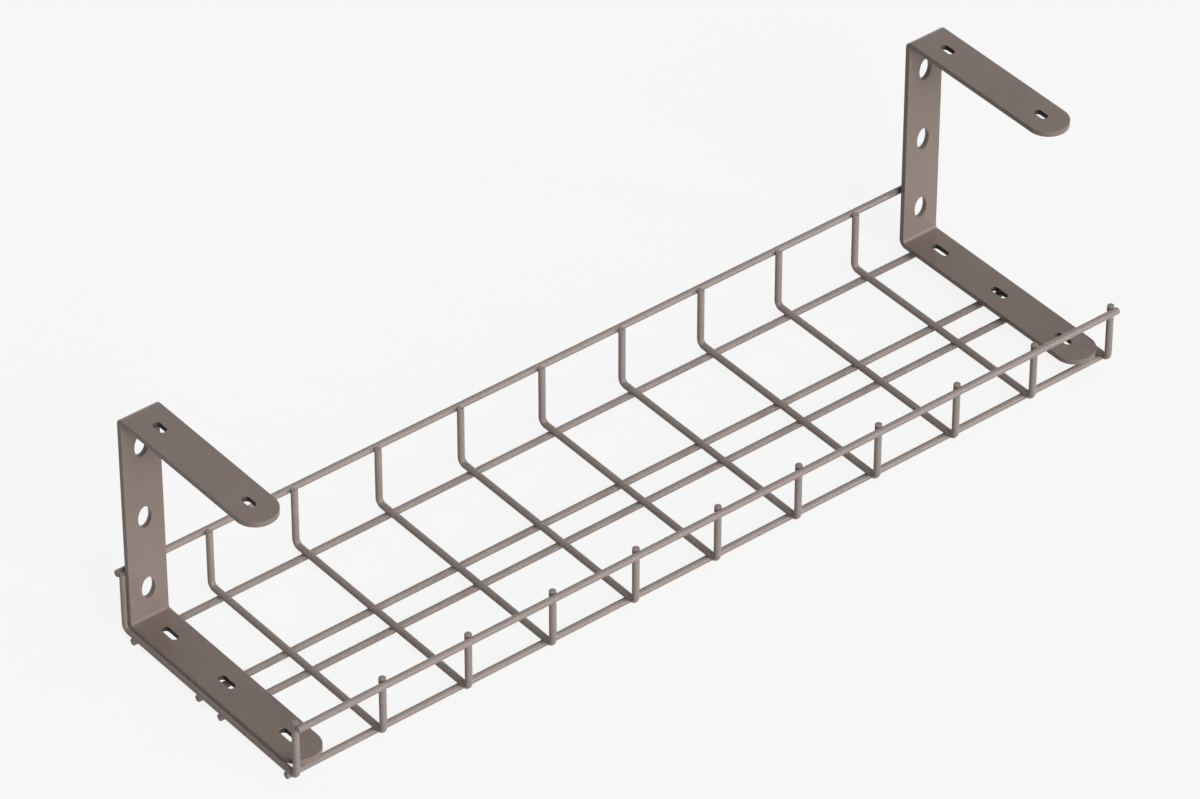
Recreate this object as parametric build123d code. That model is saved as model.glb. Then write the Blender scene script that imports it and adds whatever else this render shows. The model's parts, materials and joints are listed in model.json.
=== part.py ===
from build123d import *
import os

# Cable trunking for the underside of a desk: a shallow basket of welded round wire on two
# brackets, each bent from one flat steel strip. Millimetres. X runs along the basket, Y from
# the low front to the back, where the brackets' uprights stand, and Z is up. The origin is on
# the floor, under the middle of the basket.

# Round wire, drawn with a few flat sides: the diameter is across the flats
wire_diameter = 5.0
wire_sides = 12                  # a multiple of four, so that wires that cross meet flat to flat
wire_bend_inner_radius = 2.0

# Basket
cross_wire_count = 11
cross_wire_pitch = 68.5
basket_width = 185.0             # from the front legs' centreline to the back legs'
rail_height = 43.1               # from the cross wires' floor centreline to the rails'
long_wire_overhang = 2.2         # past the centreline of each end cross wire
outer_floor_wire_inset = 9.4     # from the centreline of the nearer legs
middle_floor_wire_spacing = 23.8

# Flat strip of the brackets
strip_width = 30.0
strip_thickness = 4.0
strip_bend_inner_radius = 1.8
bracket_height = 173.5
top_flange_length = 142.5
front_leg_clearance = 0.2        # between the bottom flange's tip and the line of the front legs

# Screw slots of the top flange and strap slots of the bottom flange, all along Y
flange_slot_width = 5.5
top_slot_length = 11.5
bottom_slot_length = 15.2
rear_slot_offset = 25.8          # from the upright's back face, on both flanges
top_front_slot_offset = 22.0     # from the top flange's tip
bottom_middle_slot_offset = 87.5  # from the upright's back face
bottom_front_slot_offset = 26.5  # from the bottom flange's tip

# Oval upright holes for cable ties and plugs, long way up
upright_hole_count = 3
upright_hole_spacing = 58.5
upright_hole_width = 10.4
upright_hole_length = 17.5
upright_hole_drop = 0.4          # of the middle hole's centre, below the upright's mid height

# Places that follow from the sizes above
wire_radius = wire_diameter / 2
wire_bend_radius = wire_bend_inner_radius + wire_radius
basket_length = (cross_wire_count - 1) * cross_wire_pitch
long_wire_length = basket_length + 2 * long_wire_overhang
leg_y = basket_width / 2
rail_y = leg_y + wire_diameter
floor_wire_z = wire_radius
cross_wire_z = floor_wire_z + wire_diameter
rail_z = cross_wire_z + rail_height
leg_top_z = rail_z + wire_radius

bracket_x = (basket_length - strip_width) / 2
upright_back_y = leg_y - wire_radius
bracket_bottom_z = cross_wire_z + wire_radius
bracket_top_z = bracket_bottom_z + bracket_height
top_tip_y = upright_back_y - top_flange_length
bottom_tip_y = -leg_y + wire_radius + front_leg_clearance
strip_bend_outer_radius = strip_bend_inner_radius + strip_thickness


# Every wire's section, with a flat on each of its four sides
def make_wire_section():
    half_side_angle = 180 / wire_sides
    return RegularPolygon(wire_radius, wire_sides, major_radius=False, rotation=half_side_angle)


# One cross wire: down the front leg, across the floor and up the back leg, bent twice
def make_cross_wire():
    path = FilletPolyline(
        (0, -leg_y, leg_top_z),
        (0, -leg_y, cross_wire_z),
        (0, leg_y, cross_wire_z),
        (0, leg_y, leg_top_z),
        radius=wire_bend_radius,
    )
    section = Plane(origin=path @ 0, z_dir=path % 0) * make_wire_section()
    return sweep(section, path=path)


# One straight wire along the basket
def make_long_wire(y, z):
    rod = extrude(make_wire_section(), long_wire_length / 2, both=True)
    return Pos(0, y, z) * Rot(0, 90, 0) * rod


# One bracket: the strip's side profile drawn out to its width, then its tips and holes
def make_bracket():
    with BuildPart() as bracket:
        with BuildSketch(Plane.YZ.offset(-strip_width / 2)):
            with BuildLine():
                Polyline(
                    (top_tip_y, bracket_top_z),
                    (upright_back_y, bracket_top_z),
                    (upright_back_y, bracket_bottom_z),
                    (bottom_tip_y, bracket_bottom_z),
                    (bottom_tip_y, bracket_bottom_z + strip_thickness),
                    (upright_back_y - strip_thickness, bracket_bottom_z + strip_thickness),
                    (upright_back_y - strip_thickness, bracket_top_z - strip_thickness),
                    (top_tip_y, bracket_top_z - strip_thickness),
                    close=True,
                )
            make_face()
        extrude(amount=strip_width)
        corners = bracket.edges().filter_by(Axis.X).group_by(Axis.Y)
        outer_corners = corners[-1]
        inner_corners = corners[-2]
        fillet(outer_corners, strip_bend_outer_radius)
        fillet(inner_corners, strip_bend_inner_radius)

        # Both tips are full half rounds of the strip's width
        for tip_y, underside_z in (
            (top_tip_y, bracket_top_z - strip_thickness),
            (bottom_tip_y, bracket_bottom_z),
        ):
            with BuildSketch(Plane.XY.offset(underside_z)):
                with Locations((0, tip_y)):
                    Rectangle(strip_width, strip_width / 2, align=(Align.CENTER, Align.MIN))
                with Locations((0, tip_y + strip_width / 2)):
                    Circle(strip_width / 2, mode=Mode.SUBTRACT)
            extrude(amount=strip_thickness, mode=Mode.SUBTRACT)

        top_slots = (
            (0, upright_back_y - rear_slot_offset),
            (0, top_tip_y + top_front_slot_offset),
        )
        with BuildSketch(Plane.XY.offset(bracket_top_z - strip_thickness)):
            with Locations(*top_slots):
                SlotOverall(top_slot_length, flange_slot_width, rotation=90)
        extrude(amount=strip_thickness, mode=Mode.SUBTRACT)

        bottom_slots = (
            (0, upright_back_y - rear_slot_offset),
            (0, upright_back_y - bottom_middle_slot_offset),
            (0, bottom_tip_y + bottom_front_slot_offset),
        )
        with BuildSketch(Plane.XY.offset(bracket_bottom_z)):
            with Locations(*bottom_slots):
                SlotOverall(bottom_slot_length, flange_slot_width, rotation=90)
        extrude(amount=strip_thickness, mode=Mode.SUBTRACT)

        middle_hole_z = (bracket_bottom_z + bracket_top_z) / 2 - upright_hole_drop
        with BuildSketch(Plane.XZ.offset(-upright_back_y)):
            with Locations((0, middle_hole_z)):
                with GridLocations(0, upright_hole_spacing, 1, upright_hole_count):
                    Ellipse(upright_hole_width / 2, upright_hole_length / 2)
        extrude(amount=strip_thickness, mode=Mode.SUBTRACT)
    return bracket.part


pieces = {}

cross_wire = make_cross_wire()
for number in range(cross_wire_count):
    x = number * cross_wire_pitch - basket_length / 2
    pieces[f"cross_wire_{number + 1:02d}"] = Pos(x, 0, 0) * cross_wire

pieces["front_rail"] = make_long_wire(-rail_y, rail_z)
pieces["back_rail"] = make_long_wire(rail_y, rail_z)

outer_floor_wire_y = leg_y - outer_floor_wire_inset
middle_floor_wire_y = middle_floor_wire_spacing / 2
floor_wire_ys = (-outer_floor_wire_y, -middle_floor_wire_y, middle_floor_wire_y, outer_floor_wire_y)
for number, y in enumerate(floor_wire_ys, start=1):
    pieces[f"floor_wire_{number}"] = make_long_wire(y, floor_wire_z)

bracket = make_bracket()
pieces["bracket_left"] = Pos(-bracket_x, 0, 0) * bracket
pieces["bracket_right"] = Pos(bracket_x, 0, 0) * bracket

os.makedirs("parts", exist_ok=True)
for name, piece in pieces.items():
    export_step(piece, f"parts/{name}.step")
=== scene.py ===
import json
import math

import bmesh
import bpy
import numpy as np
from bpy.props import FloatProperty, FloatVectorProperty, IntProperty, PointerProperty
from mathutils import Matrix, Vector


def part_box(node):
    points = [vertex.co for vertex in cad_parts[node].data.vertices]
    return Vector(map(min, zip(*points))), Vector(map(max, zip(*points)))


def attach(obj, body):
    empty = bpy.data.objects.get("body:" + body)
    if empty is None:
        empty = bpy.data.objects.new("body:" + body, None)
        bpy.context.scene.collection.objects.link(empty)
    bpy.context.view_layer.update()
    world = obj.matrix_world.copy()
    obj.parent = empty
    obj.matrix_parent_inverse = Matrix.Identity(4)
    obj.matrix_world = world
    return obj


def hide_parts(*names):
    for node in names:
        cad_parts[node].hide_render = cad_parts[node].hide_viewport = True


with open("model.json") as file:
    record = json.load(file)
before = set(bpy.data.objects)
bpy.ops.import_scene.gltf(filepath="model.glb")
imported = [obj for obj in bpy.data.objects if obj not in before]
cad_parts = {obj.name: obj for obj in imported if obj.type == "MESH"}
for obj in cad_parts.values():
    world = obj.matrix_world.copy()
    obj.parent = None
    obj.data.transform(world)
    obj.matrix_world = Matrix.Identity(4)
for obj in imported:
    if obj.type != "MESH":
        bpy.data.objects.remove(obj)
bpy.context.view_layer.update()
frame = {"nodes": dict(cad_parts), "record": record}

bl_info = {
    "name": "Welded wire cable trunking",
    "version": (1, 0, 0),
    "blender": (4, 5, 0),
    "location": "3D View > Sidebar > Cable Trunking",
    "description": "Makes the coated wires, welds and bent strip brackets of a cable trunking",
    "category": "Object",
}

MM = 0.001
BODY = "root"

CROSS_WIRES = sorted(name for name in frame["nodes"] if name.startswith("cross_wire"))
FLOOR_WIRES = sorted(name for name in frame["nodes"] if name.startswith("floor_wire"))
RAILS = ("front_rail", "back_rail")
BRACKETS = ("bracket_left", "bracket_right")

X_AXIS = np.array((1.0, 0.0, 0.0))
Y_AXIS = np.array((0.0, 1.0, 0.0))
Z_AXIS = np.array((0.0, 0.0, 1.0))
QUARTER_TURN = math.pi / 2
FULL_TURN = 2 * math.pi

# Rings along a straight wire, and on each cut end: those of the dome, as shares of the radius inside
# the rim, and the number of those on the rim
STRAIGHT_RINGS = 12
DOME_RINGS = np.array((0.35, 0.7))
RIM_RINGS = 6

# A weld's points: how many round it and how many rows. Its ends lie deeper in the wires than the wedge
# between them, by a share of the weld's radius, and are wider than its waist by another share
WELD_SIDES = 28
WELD_ROWS = 9
WELD_DEPTH = 0.35
WELD_FLARE = 0.22
WELD_SEED = 7

# The distance within which points of a bracket are merged, and how its edges are softened
MERGE_DISTANCE = 0.001 * MM
EDGE_SEGMENTS = 3
SHARP_ANGLE = math.radians(50)

# The coat: its smoothest roughness, how much rougher it gets, and its specular level
SMOOTHEST = 0.22
ROUGHER = 0.07
COAT_SPECULAR = 0.2

# A Mix node's sockets for colours go by number, because those for numbers have the same names
MIX_FROM, MIX_TO, MIX_RESULT = 6, 7, 2

# The paper floor: its whiteness for the light that it throws back and for what sees it, and how much of
# what sees it is the backdrop's own colour
PAPER_THROWING_BACK = 0.25
PAPER_SEEN = 0.9
BACKDROP_SHARE = 0.9
FLOOR_SIDES = 96

# Each light's direction, as a vector towards it, and its spread
LIGHTS = {
    "key": ((-0.17, -0.9, 0.41), math.radians(40)),
    "side": ((0.55, -0.82, 0.15), math.radians(12)),
    "top": ((0.15, -0.35, 0.9), math.radians(40)),
    "back": ((0.25, 0.95, 0.12), math.radians(60)),
}

# The camera's place, the width of its frame in millimetres, and the nearest and farthest that it sees
CAMERA_PLACE = (-2.2444, -2.7796, 2.9127)
SENSOR_WIDTH = 36
NEAREST = 0.1
FARTHEST = 100


def node_box(name):
    """The lowest corner, the highest corner and the middle of a node of the frame, as arrays."""
    low, high = (np.array(corner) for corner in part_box(name))
    return low, high, (low + high) / 2


def node_middle(name):
    """The middle of a node of the frame, as an array."""
    return node_box(name)[2]


def mount(name):
    """One mounting pattern of the frame's record, its place in metres and its sizes in millimetres."""
    return next(found for found in frame["record"]["mounts"] if found["name"] == name)


def linear(code):
    """The linear red, green and blue of an sRGB colour written as #rrggbb."""
    srgb = np.array([int(code[start:start + 2], 16) for start in (1, 3, 5)]) / 255
    low = srgb / 12.92
    high = ((srgb + 0.055) / 1.055) ** 2.4
    return tuple(float(value) for value in np.where(srgb <= 0.04045, low, high))


RAIL_LOW, RAIL_HIGH = node_box("front_rail")[:2]
BRACKET_LOW = node_box("bracket_left")[0]
DESK_SCREWS = mount("desk_screws_left")
STRAP_SLOTS = mount("strap_slots_left")


class WireSizes(bpy.types.PropertyGroup):
    """Sizes of the round wire and of its welds"""

    diameter: FloatProperty(
        name="Diameter", description="Across the coated wire",
        default=RAIL_HIGH[2] - RAIL_LOW[2], unit="LENGTH", subtype="DISTANCE")
    bend_radius: FloatProperty(
        name="Bend radius", description="Of a cross wire's bends, to the wire's centreline",
        default=4.5 * MM, unit="LENGTH", subtype="DISTANCE")
    end_rounding: FloatProperty(
        name="End rounding", description="Radius that the coat gives the rim of a cut end",
        default=0.7 * MM, unit="LENGTH", subtype="DISTANCE")
    end_crown: FloatProperty(
        name="End crown", description="How far the middle of a cut end stands past its rim",
        default=0.2 * MM, unit="LENGTH", subtype="DISTANCE")
    weld_radius: FloatProperty(
        name="Weld radius", description="Of the fused spot between two wires, at its waist",
        default=1.6 * MM, unit="LENGTH", subtype="DISTANCE")
    weld_spread: FloatProperty(
        name="Weld spread", description="How unequal the welds are, as a share of their radius",
        default=0.1, subtype="FACTOR")
    sides: IntProperty(
        name="Sides", description="Faces round a wire", default=40)
    bend_steps: IntProperty(
        name="Bend steps", description="Rings in one bend of a cross wire", default=14)


class StripSizes(bpy.types.PropertyGroup):
    """Sizes of the flat strip that the brackets are bent from"""

    thickness: FloatProperty(
        name="Thickness", description="Of the coated strip",
        default=STRAP_SLOTS["pos_m"][2] - BRACKET_LOW[2], unit="LENGTH", subtype="DISTANCE")
    bend_radius: FloatProperty(
        name="Bend radius", description="Of both bends, to the strip's outer face",
        default=5.8 * MM, unit="LENGTH", subtype="DISTANCE")
    edge_rounding: FloatProperty(
        name="Edge rounding", description="Radius that the coat gives the strip's edges",
        default=0.2 * MM, unit="LENGTH", subtype="DISTANCE")
    front_slot_offset: FloatProperty(
        name="Front slot", description="From the top flange's tip to the middle of its nearer slot",
        default=22.0 * MM, unit="LENGTH", subtype="DISTANCE")
    middle_slot_offset: FloatProperty(
        name="Middle slot", description="From the upright's back face to the bottom flange's middle slot",
        default=87.5 * MM, unit="LENGTH", subtype="DISTANCE")
    hole_length: FloatProperty(
        name="Hole length", description="Of the upright's oval holes",
        default=17.5 * MM, unit="LENGTH", subtype="DISTANCE")
    hole_width: FloatProperty(
        name="Hole width", description="Of the upright's oval holes",
        default=10.4 * MM, unit="LENGTH", subtype="DISTANCE")
    hole_spacing: FloatProperty(
        name="Hole spacing", description="From one hole of the upright to the next",
        default=58.5 * MM, unit="LENGTH", subtype="DISTANCE")
    hole_drop: FloatProperty(
        name="Hole drop", description="Of the middle hole, below the upright's mid height",
        default=0.4 * MM, unit="LENGTH", subtype="DISTANCE")
    patch_margin: FloatProperty(
        name="Patch margin", description="Length of the mesh patch past each end of its slot",
        default=6.0 * MM, unit="LENGTH", subtype="DISTANCE")
    bend_steps: IntProperty(
        name="Bend steps", description="Rows in one bend of the strip", default=14)


class CoatColours(bpy.types.PropertyGroup):
    """Colours of the satin powder coat, and of the shade painted inside the narrow slots"""

    wire: FloatVectorProperty(
        name="Wire", description="The coat's main colour on the wire",
        default=linear("#9a8d88"), size=3, subtype="COLOR")
    strip: FloatVectorProperty(
        name="Strip", description="The coat's main colour on the strip",
        default=linear("#8e7e77"), size=3, subtype="COLOR")
    # Painted shade: this near black on the long sides inside the narrow slots stands in for the shade that
    # falls there
    slot_side_painted_shade: FloatVectorProperty(
        name="Slot side", description="Of the bare long sides inside the narrow slots",
        default=linear("#221d1a"), size=3, subtype="COLOR")
    # Painted shade: this darker colour on the round ends inside the narrow slots stands in for the shade
    # that falls there
    slot_end_painted_shade: FloatVectorProperty(
        name="Slot end", description="Of the thinly coated round ends inside the narrow slots",
        default=linear("#5c514c"), size=3, subtype="COLOR")
    thinning: FloatProperty(
        name="Thinning", description="How much lighter the coat is where it lies a little thinner",
        default=0.08, subtype="FACTOR")
    grain: FloatProperty(
        name="Grain", description="How much darker the specks of the powder are",
        default=0.12, subtype="FACTOR")


class StageSettings(bpy.types.PropertyGroup):
    """Colour of the floor, place of the camera and strength of the lights"""

    backdrop: FloatVectorProperty(
        name="Backdrop", description="Colour of the floor and of what lies past it",
        default=linear("#f7f7f7"), size=3, subtype="COLOR")
    floor_glow: FloatProperty(
        name="Floor glow", description="Strength of the floor's own colour, to look like the backdrop",
        default=1.047)
    floor_radius: FloatProperty(
        name="Floor radius", description="Of the round floor",
        default=15.0, unit="LENGTH", subtype="DISTANCE")
    camera_azimuth: FloatProperty(
        name="Camera azimuth", description="Turn of the camera round the object, from the front",
        default=math.radians(-38.615), unit="ROTATION", subtype="ANGLE")
    camera_elevation: FloatProperty(
        name="Camera elevation", description="Height of the camera over the horizon",
        default=math.radians(38.374), unit="ROTATION", subtype="ANGLE")
    camera_lens: FloatProperty(
        name="Camera lens", description="Focal length in millimetres on a 36 mm frame",
        default=208.62)
    key_strength: FloatProperty(
        name="Key strength", description="Strength of the large light in front", default=2.3)
    side_strength: FloatProperty(
        name="Side strength", description="Strength of the low light at the right", default=0.78)
    top_strength: FloatProperty(
        name="Top strength", description="Strength of the high light", default=0.54)
    back_strength: FloatProperty(
        name="Back strength", description="Strength of the weak light behind", default=0.9)
    fill_strength: FloatProperty(
        name="Fill strength", description="Strength of the even light from all sides", default=0.04)


def make_object(name, points, faces, material):
    """A new piece of the root body, made from points, faces and one material."""
    mesh = bpy.data.meshes.new(name)
    mesh.from_pydata(points.tolist(), [], faces)
    mesh.update()
    mesh.shade_smooth()
    mesh.materials.append(material)
    piece = bpy.data.objects.new(name, mesh)
    bpy.context.scene.collection.objects.link(piece)
    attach(piece, BODY)
    return piece


def grid_faces(rows, columns, wrap):
    """The four-sided faces of a grid of points, rows by columns. With wrap, the last column meets the
    first."""
    row = np.arange(rows - 1)[:, None]
    column = np.arange(columns if wrap else columns - 1)[None, :]
    beside = (column + 1) % columns
    corners = np.stack(np.broadcast_arrays(
        row * columns + column, row * columns + beside,
        (row + 1) * columns + beside, (row + 1) * columns + column), axis=-1)
    return corners.reshape(-1, 4)


def closed_rings(first_pole, rings, last_pole):
    """Points and faces of rings that follow each other, with a fan of faces to a pole at both ends."""
    count, sides = rings.shape[:2]
    points = np.concatenate(([first_pole], rings.reshape(-1, 3), [last_pole]))
    around = np.arange(sides)
    beside = (around + 1) % sides
    last_ring = 1 + (count - 1) * sides
    first_fan = np.stack((np.zeros_like(around), 1 + beside, 1 + around), axis=1)
    last_pole_index = np.full_like(around, len(points) - 1)
    last_fan = np.stack((last_pole_index, last_ring + around, last_ring + beside), axis=1)
    body = 1 + grid_faces(count, sides, wrap=True)
    return points, first_fan.tolist() + body.tolist() + last_fan.tolist()


def cut_end(sizes):
    """Radii and insets of the rings on a cut end of wire: a low dome, then a quarter round at the rim.
    The dome falls with the square of the radius, and the quarter round follows sine and cosine."""
    crown = sizes.end_crown
    rounding = sizes.end_rounding
    flat_radius = sizes.diameter / 2 - rounding
    turn = np.linspace(0, QUARTER_TURN, RIM_RINGS)
    radii = np.concatenate((DOME_RINGS * flat_radius, flat_radius + rounding * np.sin(turn)))
    insets = np.concatenate((DOME_RINGS ** 2 * crown, crown + rounding * (1 - np.cos(turn))))
    return radii, insets


def wire_surface(path, headings, side, sizes):
    """A round wire: a circle carried along a path of points, square to the heading at each point.
    A ring's point is its centre plus the radius times the turn's cosine along the side direction and
    the turn's sine along heading cross side. Both ends are domed cut ends."""
    radii, insets = cut_end(sizes)
    radius = sizes.diameter / 2
    start, end = path[0], path[-1]
    centres = np.concatenate((
        start + insets[:, None] * headings[0],
        path[1:-1],
        end - insets[::-1, None] * headings[-1]))
    directions = np.concatenate((
        np.repeat(headings[:1], len(insets), axis=0),
        headings[1:-1],
        np.repeat(headings[-1:], len(insets), axis=0)))
    ring_radii = np.concatenate((radii, np.full(len(path) - 2, radius), radii[::-1]))
    turn = np.linspace(0, FULL_TURN, sizes.sides, endpoint=False)[None, :, None]
    up = np.cross(directions, side)[:, None, :]
    rings = centres[:, None, :] + ring_radii[:, None, None] * (np.cos(turn) * side + np.sin(turn) * up)
    return closed_rings(start, rings, end)


def straight_wire(name, sizes):
    """A straight wire along X, as long as its node of the frame."""
    low, high, middle = node_box(name)
    path = np.tile(middle, (STRAIGHT_RINGS, 1))
    path[:, 0] = np.linspace(low[0], high[0], STRAIGHT_RINGS)
    headings = np.tile(X_AXIS, (STRAIGHT_RINGS, 1))
    return wire_surface(path, headings, Y_AXIS, sizes)


def cross_wire(name, sizes):
    """A cross wire: down the front leg, round a quarter circle, along the floor, round another quarter
    circle and up the back leg. The arcs are sine and cosine of the bend radius."""
    low, high, middle = node_box(name)
    radius = sizes.diameter / 2
    front_y = low[1] + radius
    back_y = high[1] - radius
    floor_z = low[2] + radius
    top_z = high[2]
    bend = sizes.bend_radius
    turn = np.linspace(0, QUARTER_TURN, sizes.bend_steps)
    y = np.concatenate((
        [front_y], front_y + bend * (1 - np.cos(turn)), back_y - bend * (1 - np.sin(turn)), [back_y]))
    z = np.concatenate((
        [top_z], floor_z + bend * (1 - np.sin(turn)), floor_z + bend * (1 - np.cos(turn)), [top_z]))
    path = np.stack((np.full_like(y, middle[0]), y, z), axis=1)
    angle = np.concatenate(([0], turn, QUARTER_TURN + turn, [math.pi]))
    headings = np.stack((np.zeros_like(angle), np.sin(angle), -np.cos(angle)), axis=1)
    return wire_surface(path, headings, X_AXIS, sizes)


def weld_surface(contact, through, over, radius, wire_radius):
    """The fused spot between two wires that cross at a right angle. It is a spool about the line through
    both wires, with its waist in the wedge between them: that wedge rises and falls with the cosine of
    twice the turn, by the waist's radius squared over four wire radii. The spool widens towards both
    wires with the square of the height, and both its ends close inside the wires."""
    turn = np.linspace(0, FULL_TURN, WELD_SIDES, endpoint=False)[None, :, None]
    height = np.linspace(-1, 1, WELD_ROWS)[:, None, None]
    under = np.cross(through, over)
    wedge = radius ** 2 / (4 * wire_radius)
    reach = wedge + WELD_DEPTH * radius
    flare = radius * (1 + WELD_FLARE * height ** 2)
    level = wedge * np.cos(2 * turn) * (1 - height ** 2) + reach * height
    rings = contact + flare * (np.cos(turn) * over + np.sin(turn) * under) + level * through
    return closed_rings(contact - reach * through, rings, contact + reach * through)


def join_surfaces(surfaces):
    """Several surfaces as one list of points and one list of faces."""
    points, faces, start = [], [], 0
    for surface_points, surface_faces in surfaces:
        points.append(surface_points)
        faces += [[start + corner for corner in face] for face in surface_faces]
        start += len(surface_points)
    return np.concatenate(points), faces


def slot_rim(middle, length, width, arc_steps, side_steps):
    """The closed rim of a slot in the flat pattern, as places along and across the strip: a half circle
    at the far end, a straight side, a half circle at the near end and the other side."""
    half_width = width / 2
    half_straight = (length - width) / 2
    turn = np.linspace(-QUARTER_TURN, QUARTER_TURN, arc_steps, endpoint=False)
    side = np.linspace(half_straight, -half_straight, side_steps, endpoint=False)
    along = np.concatenate((
        half_straight + half_width * np.cos(turn), side, -half_straight - half_width * np.cos(turn), -side))
    across = np.concatenate((
        half_width * np.sin(turn), np.full_like(side, half_width),
        -half_width * np.sin(turn), np.full_like(side, -half_width)))
    return np.stack((middle + along, across), axis=1)


def oval_rim(middle, length, width, arc_steps, side_steps):
    """The closed rim of an oval hole in the flat pattern, point for point with slot_rim: half the length
    times the turn's cosine along the strip and half the width times its sine across."""
    count = 2 * (arc_steps + side_steps)
    turn = (np.arange(count) - arc_steps / 2) * FULL_TURN / count
    return np.stack((middle + length / 2 * np.cos(turn), width / 2 * np.sin(turn)), axis=1)


def patch_edge(near, far, width, arc_steps, side_steps, near_round=False, far_round=False):
    """The closed edge of the patch round a slot, point for point with slot_rim: the far end across the
    strip, one side, the near end and the other side. A round end bulges by a half circle of the width."""
    half_width = width / 2
    turn = np.linspace(-QUARTER_TURN, QUARTER_TURN, arc_steps, endpoint=False)
    level = np.linspace(-half_width, half_width, arc_steps, endpoint=False)
    side = np.linspace(far, near, side_steps, endpoint=False)
    flat = np.zeros_like(turn)
    far_bulge = half_width * np.cos(turn) if far_round else flat
    near_bulge = half_width * np.cos(turn) if near_round else flat
    far_across = half_width * np.sin(turn) if far_round else level
    near_across = half_width * np.sin(turn) if near_round else level
    along = np.concatenate((far + far_bulge, side, near - near_bulge, near + far - side))
    across = np.concatenate((
        far_across, np.full_like(side, half_width), -near_across, np.full_like(side, -half_width)))
    return np.stack((along, across), axis=1)


class FlatPattern:
    """The flat pattern of a bracket: a strip with slots and two half-round tips, as four-sided faces on
    places along and across the strip. Along runs from the top flange's tip to the bottom one's."""

    arc_steps = 24
    side_steps = 8
    patch_rows = 6
    crowding = 1.3  # of a patch's rows towards its slot

    def __init__(self, width):
        self.width = width
        self.surfaces = []
        self.at_painted_shade_rim = []
        self.reached = 0.0

    def add_rows(self, stations):
        """Plain rows across the strip at these places along it, from where the pattern has reached."""
        along = np.concatenate(([self.reached], stations))
        across = np.linspace(-self.width / 2, self.width / 2, self.arc_steps + 1)
        points = np.stack(np.meshgrid(along, across, indexing="ij"), axis=-1)
        faces = grid_faces(len(along), len(across), wrap=False)
        self.surfaces.append((points.reshape(-1, 2), faces.tolist()))
        self.at_painted_shade_rim.append(np.zeros(len(faces), dtype=int))
        self.reached = along[-1]

    def add_slot(self, rim_shape, middle, length, width, near, far, near_round=False, far_round=False):
        """The patch round one slot: even rows of points between the slot's rim and the patch's edge. The
        first row of faces round a narrow slot is marked, for the wall with painted shade that it ends at."""
        rim = rim_shape(middle, length, width, self.arc_steps, self.side_steps)
        edge = patch_edge(near, far, self.width, self.arc_steps, self.side_steps, near_round, far_round)
        share = np.linspace(0, 1, self.patch_rows)[:, None, None] ** self.crowding
        points = rim + (edge - rim) * share
        faces = grid_faces(self.patch_rows, len(rim), wrap=True)
        self.surfaces.append((points.reshape(-1, 2), faces.tolist()))
        # Only narrow slots get walls with painted shade; the oval holes keep the plain coat
        dark = rim_shape is slot_rim
        self.at_painted_shade_rim.append(np.where(np.arange(len(faces)) < len(rim), dark, 0))
        self.reached = far


def bracket_pattern(low, high, sizes):
    """The flat pattern of one bracket, where its top tip is, and the lengths of the top flange and of the
    upright between the bends."""
    width = high[0] - low[0]
    tip = width / 2
    bend = sizes.bend_radius
    bend_length = bend * QUARTER_TURN
    bend_rows = bend_length * np.linspace(0, 1, sizes.bend_steps + 1)[1:]
    margin = sizes.patch_margin
    back_y = high[1]
    top_half_spacing = DESK_SCREWS["dims"]["spacing_y_mm"] / 2 * MM
    top_tip_y = DESK_SCREWS["pos_m"][1] - top_half_spacing - sizes.front_slot_offset
    top_run = back_y - bend - top_tip_y
    upright_run = high[2] - low[2] - 2 * bend
    bottom_run = back_y - bend - low[1]
    upright_start = top_run + bend_length
    bottom_start = upright_start + upright_run + bend_length

    top_length = DESK_SCREWS["dims"]["slot_length_mm"] * MM
    slot_width = 2 * DESK_SCREWS["dims"]["hole_r_mm"] * MM
    top_middle = DESK_SCREWS["pos_m"][1] - top_tip_y
    bottom_length = STRAP_SLOTS["dims"]["slot_length_mm"] * MM
    bottom_half_spacing = STRAP_SLOTS["dims"]["spacing_y_mm"] / 2 * MM
    bottom_middle = bottom_start + back_y - bend - STRAP_SLOTS["pos_m"][1]
    middle_slot = bottom_start + sizes.middle_slot_offset - bend
    hole_middle = upright_start + upright_run / 2 + sizes.hole_drop

    pattern = FlatPattern(width)

    def open_slot(middle, length, width, rim_shape=slot_rim):
        """Plain rows as far as the next slot's patch, then that patch."""
        near = middle - length / 2 - margin
        far = middle + length / 2 + margin
        pattern.add_rows([near])
        pattern.add_slot(rim_shape, middle, length, width, near, far)

    first = top_middle - top_half_spacing
    far = first + top_length / 2 + margin
    pattern.add_slot(slot_rim, first, top_length, slot_width, tip, far, near_round=True)
    open_slot(top_middle + top_half_spacing, top_length, slot_width)
    pattern.add_rows([top_run])
    pattern.add_rows(top_run + bend_rows)
    for number in (-1, 0, 1):
        middle = hole_middle + number * sizes.hole_spacing
        open_slot(middle, sizes.hole_length, sizes.hole_width, oval_rim)
    pattern.add_rows([upright_start + upright_run])
    pattern.add_rows(upright_start + upright_run + bend_rows)
    open_slot(bottom_middle - bottom_half_spacing, bottom_length, slot_width)
    open_slot(middle_slot, bottom_length, slot_width)
    last = bottom_middle + bottom_half_spacing
    near = last - bottom_length / 2 - margin
    pattern.add_rows([near])
    far = bottom_start + bottom_run - tip
    pattern.add_slot(slot_rim, last, bottom_length, slot_width, near, far, far_round=True)
    return pattern, top_tip_y, top_run, upright_run


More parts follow.
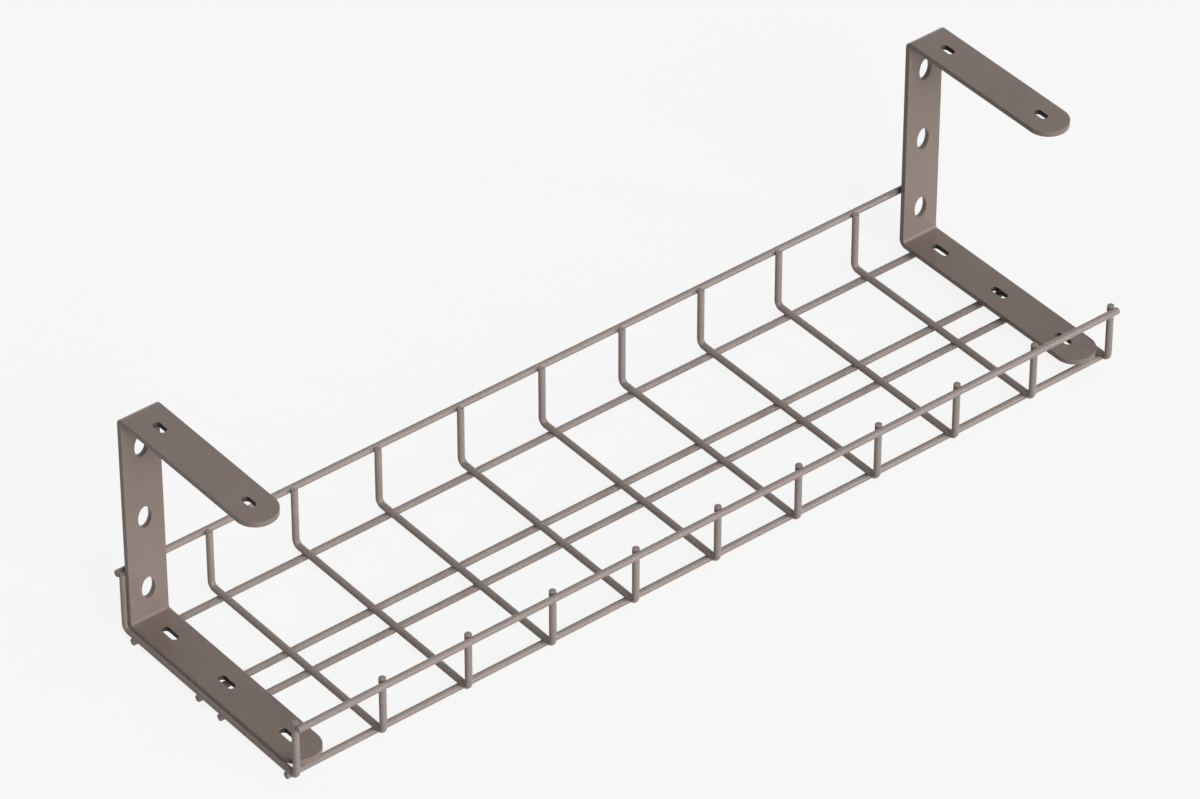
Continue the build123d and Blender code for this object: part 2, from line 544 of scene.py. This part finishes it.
def bent_strip(name, sizes):
    """The outer face of one bracket: its flat pattern wrapped round two quarter bends. The first bend's
    angle grows with the length past the top flange, and the second's with the length past the upright.
    A point moves by the sine and by one minus the cosine of each angle, times the bend radius. The last
    array is 1 for the faces at the rim of a narrow slot and 0 for all others."""
    low, high, middle = node_box(name)
    pattern, top_tip_y, top_run, upright_run = bracket_pattern(low, high, sizes)
    points, faces = join_surfaces(pattern.surfaces)
    along, across = points.T
    bend = sizes.bend_radius
    bend_length = bend * QUARTER_TURN
    upright_start = top_run + bend_length
    second_bend = upright_start + upright_run
    bottom_start = second_bend + bend_length
    first_angle = np.clip(along - top_run, 0, bend_length) / bend
    second_angle = np.clip(along - second_bend, 0, bend_length) / bend
    y = top_tip_y + np.minimum(along, top_run) + bend * np.sin(first_angle)
    y -= bend * (1 - np.cos(second_angle)) + np.maximum(along - bottom_start, 0)
    z = high[2] - bend * (1 - np.cos(first_angle)) - np.clip(along - upright_start, 0, upright_run)
    z -= bend * np.sin(second_angle)
    return np.stack((middle[0] + across, y, z), axis=1), faces, np.concatenate(pattern.at_painted_shade_rim)


def add_node(tree, kind, sockets=None, settings=None):
    """Adds one node. sockets holds constants or other nodes' outputs by input, settings its own options."""
    node = tree.nodes.new(kind)
    for name, value in (settings or {}).items():
        setattr(node, name, value)
    for name, value in (sockets or {}).items():
        if isinstance(value, bpy.types.NodeSocket):
            tree.links.new(value, node.inputs[name])
        else:
            node.inputs[name].default_value = value
    return node


def new_material(name):
    """An empty node material and its node tree."""
    material = bpy.data.materials.new(name)
    material.use_nodes = True
    material.node_tree.nodes.clear()
    return material, material.node_tree


def satin_powder_coat(name, colour, cloud_size, grain_size, peel_size, peel_depth):
    """Satin polyester powder coat, sprayed dry on bare steel and baked: an even warm grey with a soft, broad
    sheen, faintly clouded where the coat is thinner, with fine darker specks of powder and the shallow
    waves called orange peel. Real specks are about 0.1 mm and real waves about 0.01 mm deep: both are
    drawn larger, so that they show. The specks stand out by a sixth of the waves' depth. Sizes are in
    metres."""
    coat = bpy.context.scene.trunking_coat
    body = np.array(colour)
    thin = (*body * (1 + coat.thinning), 1)
    dark = (*body * (1 - coat.grain), 1)
    material, tree = new_material(name)
    place = add_node(tree, "ShaderNodeTexCoord").outputs["Object"]
    cloud = add_node(tree, "ShaderNodeTexNoise", {
        "Vector": place, "Scale": 1 / cloud_size, "Detail": 3.0, "Roughness": 0.55})
    grain = add_node(tree, "ShaderNodeTexNoise", {
        "Vector": place, "Scale": 1 / grain_size, "Detail": 1.0, "Roughness": 0.5})
    peel = add_node(tree, "ShaderNodeTexNoise", {
        "Vector": place, "Scale": 1 / peel_size, "Detail": 1.0, "Roughness": 0.4})
    cloud_share = add_node(tree, "ShaderNodeMapRange", {
        "Value": cloud.outputs["Fac"], "From Min": 0.35, "From Max": 0.65})
    grain_share = add_node(tree, "ShaderNodeMapRange", {
        "Value": grain.outputs["Fac"], "From Min": 0.58, "From Max": 0.72, "To Max": 0.5})
    clouded = add_node(tree, "ShaderNodeMix", {
        "Factor": cloud_share.outputs["Result"], MIX_FROM: (*body, 1), MIX_TO: thin},
        {"data_type": "RGBA"})
    coloured = add_node(tree, "ShaderNodeMix", {
        "Factor": grain_share.outputs["Result"],
        MIX_FROM: clouded.outputs[MIX_RESULT], MIX_TO: dark},
        {"data_type": "RGBA"})
    roughness = add_node(tree, "ShaderNodeMapRange", {
        "Value": cloud.outputs["Fac"], "From Min": 0.3, "From Max": 0.7,
        "To Min": SMOOTHEST, "To Max": SMOOTHEST + ROUGHER})
    waves = add_node(tree, "ShaderNodeBump", {
        "Height": peel.outputs["Fac"], "Distance": peel_depth, "Strength": 1.0})
    grit = add_node(tree, "ShaderNodeBump", {
        "Height": grain.outputs["Fac"], "Distance": peel_depth / 6, "Strength": 1.0,
        "Normal": waves.outputs["Normal"]})
    finish = add_node(tree, "ShaderNodeBsdfPrincipled", {
        "Base Color": coloured.outputs[MIX_RESULT], "Roughness": roughness.outputs["Result"],
        "Normal": grit.outputs["Normal"], "IOR": 1.5, "Specular IOR Level": COAT_SPECULAR})
    add_node(tree, "ShaderNodeOutputMaterial", {"Surface": finish.outputs["BSDF"]})
    return material


def wire_coat():
    """The coat on drawn round wire: a thin film on a small radius, so its waves are short and shallow.
    All wires and welds share it, so it is made once."""
    name = "satin_powder_coat_on_drawn_wire"
    return bpy.data.materials.get(name) or satin_powder_coat(
        name, bpy.context.scene.trunking_coat.wire,
        cloud_size=30 * MM, grain_size=0.5 * MM, peel_size=1.6 * MM, peel_depth=0.03 * MM)


def strip_coat():
    """The coat on flat rolled strip: a fuller film, with longer waves than on the wire."""
    return satin_powder_coat(
        "satin_powder_coat_on_rolled_strip", bpy.context.scene.trunking_coat.strip,
        cloud_size=42 * MM, grain_size=0.5 * MM, peel_size=2.4 * MM, peel_depth=0.06 * MM)


def thinly_coated_cut_edge():
    """Painted shade inside the narrow slots: the long sides, which face along X, are painted a near black
    shade, and the round ends, which don't, a lighter dark shade. Faint blotches, 0.8 mm wide, vary the
    tone at random."""
    coat = bpy.context.scene.trunking_coat
    material, tree = new_material("thinly_coated_cut_edge")
    place = add_node(tree, "ShaderNodeTexCoord").outputs
    facing = add_node(tree, "ShaderNodeSeparateXYZ", {"Vector": place["Normal"]})
    sideways = add_node(tree, "ShaderNodeMath", {0: facing.outputs["X"]}, {"operation": "ABSOLUTE"})
    # Painted shade: the more a wall faces along X, the nearer its colour goes to the near black of the long
    # sides
    shaded_side_share = add_node(tree, "ShaderNodeMapRange", {
        "Value": sideways.outputs[0], "From Min": 0.4, "From Max": 0.9})
    body = add_node(tree, "ShaderNodeMix", {
        "Factor": shaded_side_share.outputs["Result"],
        MIX_FROM: (*coat.slot_end_painted_shade, 1), MIX_TO: (*coat.slot_side_painted_shade, 1)},
        {"data_type": "RGBA"})
    blotches = add_node(tree, "ShaderNodeTexNoise", {
        "Vector": place["Object"], "Scale": 1 / (0.8 * MM), "Detail": 1.0})
    share = add_node(tree, "ShaderNodeMapRange", {
        "Value": blotches.outputs["Fac"], "To Min": 0.8, "To Max": 1.2})
    colour = add_node(tree, "ShaderNodeVectorMath", {
        0: body.outputs[MIX_RESULT], "Scale": share.outputs["Result"]}, {"operation": "SCALE"})
    finish = add_node(tree, "ShaderNodeBsdfPrincipled", {
        "Base Color": colour.outputs["Vector"], "Roughness": 0.6,
        "Specular IOR Level": COAT_SPECULAR})
    add_node(tree, "ShaderNodeOutputMaterial", {"Surface": finish.outputs["BSDF"]})
    return material


class TRUNKING_OT_straight_wires(bpy.types.Operator):
    """Makes the two rails and the wires under the floor"""

    bl_idname = "cable_trunking.straight_wires"
    bl_label = "Make straight wires"

    def execute(self, context):
        material = wire_coat()
        for name in (*RAILS, *FLOOR_WIRES):
            points, faces = straight_wire(name, context.scene.trunking_wire)
            piece = make_object(f"coated_{name}", points, faces, material)
            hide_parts(name)
        return {"FINISHED"}


class TRUNKING_OT_cross_wires(bpy.types.Operator):
    """Makes the cross wires, each bent twice"""

    bl_idname = "cable_trunking.cross_wires"
    bl_label = "Make cross wires"

    def execute(self, context):
        material = wire_coat()
        for name in CROSS_WIRES:
            points, faces = cross_wire(name, context.scene.trunking_wire)
            piece = make_object(f"coated_{name}", points, faces, material)
            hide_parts(name)
        return {"FINISHED"}


class TRUNKING_OT_welds(bpy.types.Operator):
    """Makes the fused spots where each cross wire meets the straight wires"""

    bl_idname = "cable_trunking.welds"
    bl_label = "Make welds"

    def execute(self, context):
        sizes = context.scene.trunking_wire
        material = wire_coat()
        chance = np.random.default_rng(WELD_SEED)
        least, most = 1 - sizes.weld_spread, 1 + sizes.weld_spread
        wire_radius = sizes.diameter / 2
        touching = [(node_middle(name), Z_AXIS) for name in FLOOR_WIRES]
        for name in RAILS:
            middle = node_middle(name)
            touching.append((middle, -math.copysign(1, middle[1]) * Y_AXIS))
        for name in CROSS_WIRES:
            welds = []
            for middle, through in touching:
                contact = middle + wire_radius * through
                contact[0] = node_middle(name)[0]
                radius = sizes.weld_radius * chance.uniform(least, most)
                welds.append(weld_surface(contact, through, X_AXIS, radius, wire_radius))
            points, faces = join_surfaces(welds)
            make_object(f"welds_{name}", points, faces, material)
        return {"FINISHED"}


class TRUNKING_OT_brackets(bpy.types.Operator):
    """Makes the two brackets, each bent from one slotted strip. Faces at the rims of narrow slots use the
    coat's second material slot, so that the walls that Solidify adds there take the third, which paints
    shade on them"""

    bl_idname = "cable_trunking.brackets"
    bl_label = "Make brackets"

    def execute(self, context):
        sizes = context.scene.trunking_strip
        material = strip_coat()
        slot_wall = thinly_coated_cut_edge()
        for name in BRACKETS:
            points, faces, at_painted_shade_rim = bent_strip(name, sizes)
            piece = make_object(f"coated_{name}", points, faces, material)
            piece.data.materials.append(material)
            piece.data.materials.append(slot_wall)
            # Faces at narrow slot rims give their walls the material with painted shade
            piece.data.polygons.foreach_set("material_index", at_painted_shade_rim)
            sheet = bmesh.new()
            sheet.from_mesh(piece.data)
            bmesh.ops.remove_doubles(sheet, verts=sheet.verts, dist=MERGE_DISTANCE)
            sheet.to_mesh(piece.data)
            sheet.free()
            thicken = piece.modifiers.new("strip thickness", "SOLIDIFY")
            thicken.thickness = sizes.thickness
            thicken.offset = -1
            thicken.use_even_offset = True
            thicken.material_offset_rim = 1
            soften = piece.modifiers.new("softened edges", "BEVEL")
            soften.width = sizes.edge_rounding
            soften.segments = EDGE_SEGMENTS
            soften.limit_method = "ANGLE"
            soften.angle_limit = SHARP_ANGLE
            soften.harden_normals = True
            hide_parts(name)
        return {"FINISHED"}


def backdrop_rays(tree):
    """The share of rays that see the pale backdrop: those of the camera, of gloss and of transmission."""
    paths = add_node(tree, "ShaderNodeLightPath").outputs
    seen = add_node(tree, "ShaderNodeMath", {
        0: paths["Is Camera Ray"], 1: paths["Is Glossy Ray"]}, {"operation": "MAXIMUM"})
    return add_node(tree, "ShaderNodeMath", {
        0: seen.outputs[0], 1: paths["Is Transmission Ray"]}, {"operation": "MAXIMUM"}).outputs[0]


def floor_material(settings):
    """Seamless paper: matt and pale. What the camera sees is mostly the backdrop's even colour, and a small
    share of it is lit paper, which takes the object's shadow. It throws little light back up."""
    material, tree = new_material("matt_seamless_paper")
    seen = backdrop_rays(tree)
    whiteness = add_node(tree, "ShaderNodeMapRange", {
        "Value": seen, "To Min": PAPER_THROWING_BACK, "To Max": PAPER_SEEN})
    paper = add_node(tree, "ShaderNodeBsdfDiffuse", {"Color": whiteness.outputs["Result"]})
    glow = add_node(tree, "ShaderNodeEmission", {
        "Color": (*settings.backdrop, 1), "Strength": settings.floor_glow})
    share = add_node(tree, "ShaderNodeMath", {0: seen, 1: BACKDROP_SHARE}, {"operation": "MULTIPLY"})
    mixed = add_node(tree, "ShaderNodeMixShader", {
        0: share.outputs[0], 1: paper.outputs[0], 2: glow.outputs[0]})
    add_node(tree, "ShaderNodeOutputMaterial", {"Surface": mixed.outputs[0]})
    return material


def studio_world(settings):
    """Even light from all sides, seen as the pale backdrop by the camera and in gloss."""
    world = bpy.data.worlds.new("studio")
    world.use_nodes = True
    tree = world.node_tree
    tree.nodes.clear()
    fill = add_node(tree, "ShaderNodeBackground", {
        "Color": (1, 1, 1, 1), "Strength": settings.fill_strength})
    backdrop = add_node(tree, "ShaderNodeBackground", {
        "Color": (*settings.backdrop, 1), "Strength": 1.0})
    mixed = add_node(tree, "ShaderNodeMixShader", {
        0: backdrop_rays(tree), 1: fill.outputs[0], 2: backdrop.outputs[0]})
    add_node(tree, "ShaderNodeOutputWorld", {"Surface": mixed.outputs[0]})
    return world


def add_sun(name, towards, strength, spread):
    """A large soft light that shines from one direction, given as a vector towards it."""
    light = bpy.data.lights.new(name, "SUN")
    light.energy = strength
    light.angle = spread
    lamp = bpy.data.objects.new(name, light)
    lamp.rotation_mode = "QUATERNION"
    lamp.rotation_quaternion = Vector(towards).to_track_quat("Z", "Y")
    bpy.context.scene.collection.objects.link(lamp)


class TRUNKING_OT_stage(bpy.types.Operator):
    """Makes the floor, the lights, the backdrop and the camera"""

    bl_idname = "cable_trunking.stage"
    bl_label = "Make stage"

    def execute(self, context):
        scene = context.scene
        settings = scene.trunking_stage
        turn = np.linspace(0, FULL_TURN, FLOOR_SIDES, endpoint=False)
        circle = np.stack((np.cos(turn), np.sin(turn), np.zeros_like(turn)), axis=1)
        rim = settings.floor_radius * circle
        mesh = bpy.data.meshes.new("floor")
        mesh.from_pydata(rim.tolist(), [], [list(range(len(rim)))])
        mesh.materials.append(floor_material(settings))
        floor = bpy.data.objects.new("floor", mesh)
        scene.collection.objects.link(floor)

        scene.world = studio_world(settings)
        for name, (towards, spread) in LIGHTS.items():
            add_sun(name, towards, getattr(settings, f"{name}_strength"), spread)

        camera = bpy.data.objects.new("camera", bpy.data.cameras.new("camera"))
        camera.data.sensor_fit = "HORIZONTAL"
        camera.data.sensor_width = SENSOR_WIDTH
        camera.data.lens = settings.camera_lens
        camera.data.clip_start = NEAREST
        camera.data.clip_end = FARTHEST
        level = math.cos(settings.camera_elevation)
        back = Vector((
            math.sin(settings.camera_azimuth) * level,
            -math.cos(settings.camera_azimuth) * level,
            math.sin(settings.camera_elevation)))
        camera.location = CAMERA_PLACE
        camera.rotation_mode = "QUATERNION"
        camera.rotation_quaternion = (-back).to_track_quat("-Z", "Y")
        scene.collection.objects.link(camera)
        scene.camera = camera
        scene.view_settings.view_transform = "Standard"
        return {"FINISHED"}


class TRUNKING_PT_panel(bpy.types.Panel):
    """Lists the steps that make the cable trunking and the sizes they use"""

    bl_label = "Cable Trunking"
    bl_idname = "TRUNKING_PT_panel"
    bl_space_type = "VIEW_3D"
    bl_region_type = "UI"
    bl_category = "Cable Trunking"

    def draw(self, context):
        for operator in OPERATORS:
            self.layout.operator(operator.bl_idname)
        for group in GROUPS:
            settings = getattr(context.scene, group)
            for name in settings.bl_rna.properties.keys():
                if name not in ("name", "rna_type"):
                    self.layout.prop(settings, name)


GROUPS = {
    "trunking_wire": WireSizes,
    "trunking_strip": StripSizes,
    "trunking_coat": CoatColours,
    "trunking_stage": StageSettings,
}
OPERATORS = (
    TRUNKING_OT_straight_wires,
    TRUNKING_OT_cross_wires,
    TRUNKING_OT_welds,
    TRUNKING_OT_brackets,
    TRUNKING_OT_stage,
)


def register():
    """Registers the sizes, the operators and the panel."""
    for name, group in GROUPS.items():
        bpy.utils.register_class(group)
        setattr(bpy.types.Scene, name, PointerProperty(type=group))
    for operator in OPERATORS:
        bpy.utils.register_class(operator)
    bpy.utils.register_class(TRUNKING_PT_panel)


def unregister():
    """Undoes register in the opposite order."""
    bpy.utils.unregister_class(TRUNKING_PT_panel)
    for operator in reversed(OPERATORS):
        bpy.utils.unregister_class(operator)
    for name, group in reversed(GROUPS.items()):
        delattr(bpy.types.Scene, name)
        bpy.utils.unregister_class(group)


def main():
    """Makes every piece and the stage, in order."""
    register()
    bpy.ops.cable_trunking.straight_wires()
    bpy.ops.cable_trunking.cross_wires()
    bpy.ops.cable_trunking.welds()
    bpy.ops.cable_trunking.brackets()
    bpy.ops.cable_trunking.stage()


if __name__ == "__main__":
    main()
